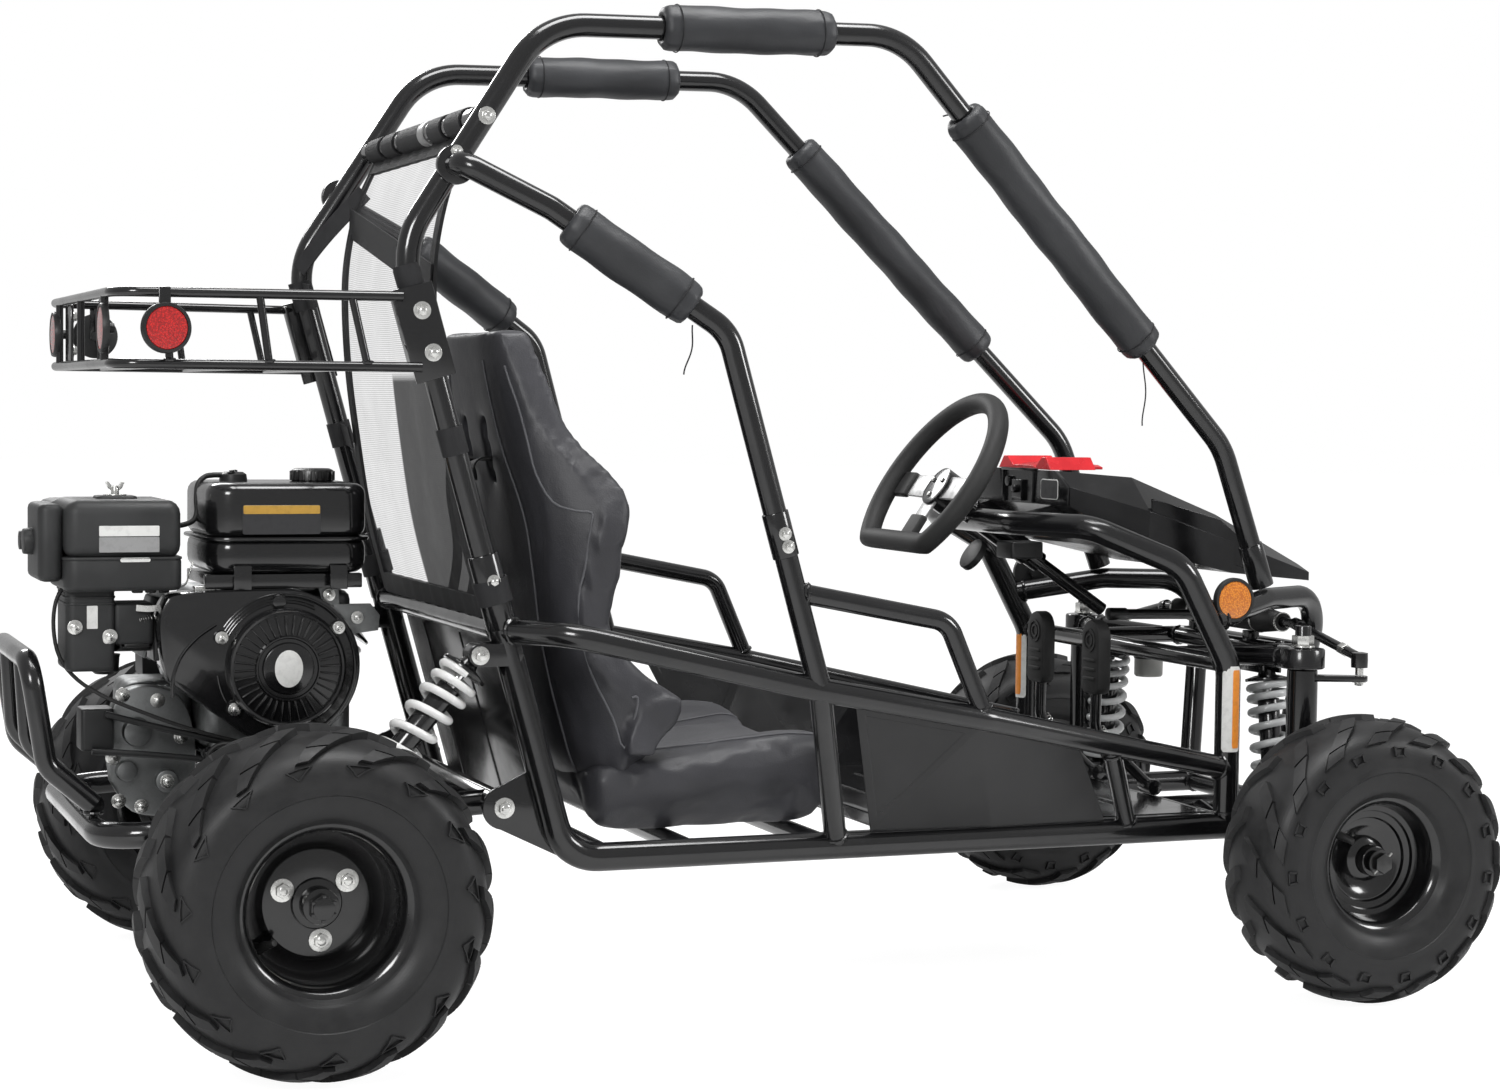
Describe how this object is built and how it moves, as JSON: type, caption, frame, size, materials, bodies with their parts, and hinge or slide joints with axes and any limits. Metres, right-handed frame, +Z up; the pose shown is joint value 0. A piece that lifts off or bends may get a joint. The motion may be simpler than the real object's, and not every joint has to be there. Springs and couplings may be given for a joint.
{
  "type": "off-road go-kart",
  "caption": "Off-road go-kart with a tubular frame and roll cage, one bucket seat, rear engine, lugged tyres, luggage rack and steerable front wheels.",
  "frame": {"origin": "on the ground below the middle of the bounding box", "axes": "+X forward, +Y to the driver's left, +Z up"},
  "size_m": [1.8748, 1.086, 1.2761],
  "materials": {
    "black_rubber": "matte",
    "bright_steel": "bright zinc",
    "cast_aluminium": "as cast",
    "gloss_black_paint": "gloss",
    "net_cloth": "matte",
    "pad_leatherette": "grained",
    "red_plastic": "gloss",
    "satin_black_plastic": "satin",
    "seat_leatherette": "grained",
    "tyre_rubber": "matte",
    "white_spring": "gloss"
  },
  "bodies": {
    "chassis": {"air_cleaner": "satin_black_plastic", "brake_pedal": "black_rubber", "cage_cross_tube": "gloss_black_paint", "cage_hoop_left": "gloss_black_paint", "cage_hoop_right": "gloss_black_paint", "drive_chain": "bright_steel", "drive_cover": "satin_black_plastic", "engine": "cast_aluminium", "fan_shroud": "gloss_black_paint", "floor_pan": "satin_black_plastic", "front_pad_left": "pad_leatherette", "front_pad_right": "pad_leatherette", "front_shock_left": "white_spring", "front_shock_right": "white_spring", "fuel_tank": "gloss_black_paint", "gearbox": "cast_aluminium", "lower_arm_left": "gloss_black_paint", "lower_arm_right": "gloss_black_paint", "luggage_rack": "gloss_black_paint", "main_frame": "gloss_black_paint", "mid_bar_left": "gloss_black_paint", "mid_bar_right": "gloss_black_paint", "mid_pad_left": "pad_leatherette", "mid_pad_right": "pad_leatherette", "muffler": "satin_black_plastic", "nose_fairing": "satin_black_plastic", "nose_top": "red_plastic", "rear_guard": "gloss_black_paint", "rear_net": "net_cloth", "rear_shock_left": "white_spring", "rear_shock_right": "white_spring", "seat": "seat_leatherette", "side_panel_left": "satin_black_plastic", "side_panel_right": "satin_black_plastic", "steering_rack": "satin_black_plastic", "swing_arm": "gloss_black_paint", "throttle_pedal": "black_rubber", "top_pad_left": "pad_leatherette", "top_pad_right": "pad_leatherette", "upper_arm_left": "gloss_black_paint", "upper_arm_right": "gloss_black_paint"},
    "rear_wheels": {"rear_axle": "bright_steel", "rear_rim_left": "gloss_black_paint", "rear_rim_right": "gloss_black_paint", "rear_tyre_left": "tyre_rubber", "rear_tyre_right": "tyre_rubber"},
    "knuckle_left": {"knuckle_left": "gloss_black_paint"},
    "knuckle_right": {"knuckle_right": "gloss_black_paint"},
    "front_wheel_left": {"front_rim_left": "gloss_black_paint", "front_tyre_left": "tyre_rubber"},
    "front_wheel_right": {"front_rim_right": "gloss_black_paint", "front_tyre_right": "tyre_rubber"},
    "steering_wheel": {"steering_wheel": "satin_black_plastic"},
    "steering_link": {"steering_link_shaft": "bright_steel"},
    "steering_rods": {"steering_rods": "gloss_black_paint"}
  },
  "joints": [
    {"name": "rear_axle_spin", "type": "hinge", "parent": "chassis", "child": "rear_wheels", "pos_m": [-0.6425, 0, 0.203], "axis": [0, 1, 0], "continuous": true},
    {"name": "steering_wheel_turn", "type": "hinge", "parent": "chassis", "child": "steering_wheel", "pos_m": [0.3365, 0, 0.668], "axis": [0.829, 0, -0.5592], "range_deg": [-90, 90]},
    {"name": "steering_link_turn", "type": "hinge", "parent": "chassis", "child": "steering_link", "pos_m": [0.61821, 0, 0.47799], "axis": [0.9998, 0, -0.0198], "range_deg": [-90, 90]},
    {"name": "steering_rods_slide", "type": "slide", "parent": "chassis", "child": "steering_rods", "axis": [0, 1, 0], "range_m": [-0.0267, 0.0267]},
    {"name": "kingpin_left", "type": "hinge", "parent": "chassis", "child": "knuckle_left", "pos_m": [0.7485, 0.315, 0.189], "axis": [0, 0, 1], "range_deg": [-22, 22]},
    {"name": "front_wheel_spin_left", "type": "hinge", "parent": "knuckle_left", "child": "front_wheel_left", "pos_m": [0.7485, 0.47, 0.189], "axis": [0, 1, 0], "continuous": true},
    {"name": "kingpin_right", "type": "hinge", "parent": "chassis", "child": "knuckle_right", "pos_m": [0.7485, -0.315, 0.189], "axis": [0, 0, 1], "range_deg": [-22, 22]},
    {"name": "front_wheel_spin_right", "type": "hinge", "parent": "knuckle_right", "child": "front_wheel_right", "pos_m": [0.7485, -0.47, 0.189], "axis": [0, 1, 0], "continuous": true}
  ],
  "couplings": [
    {"joint": "steering_link_turn", "follows": "steering_wheel_turn", "ratio": 1},
    {"joint": "steering_rods_slide", "follows": "steering_wheel_turn", "m_per_rad": -0.016934},
    {"joint": "kingpin_left", "follows": "steering_wheel_turn", "ratio": -0.24442},
    {"joint": "kingpin_right", "follows": "steering_wheel_turn", "ratio": -0.24442}
  ]
}
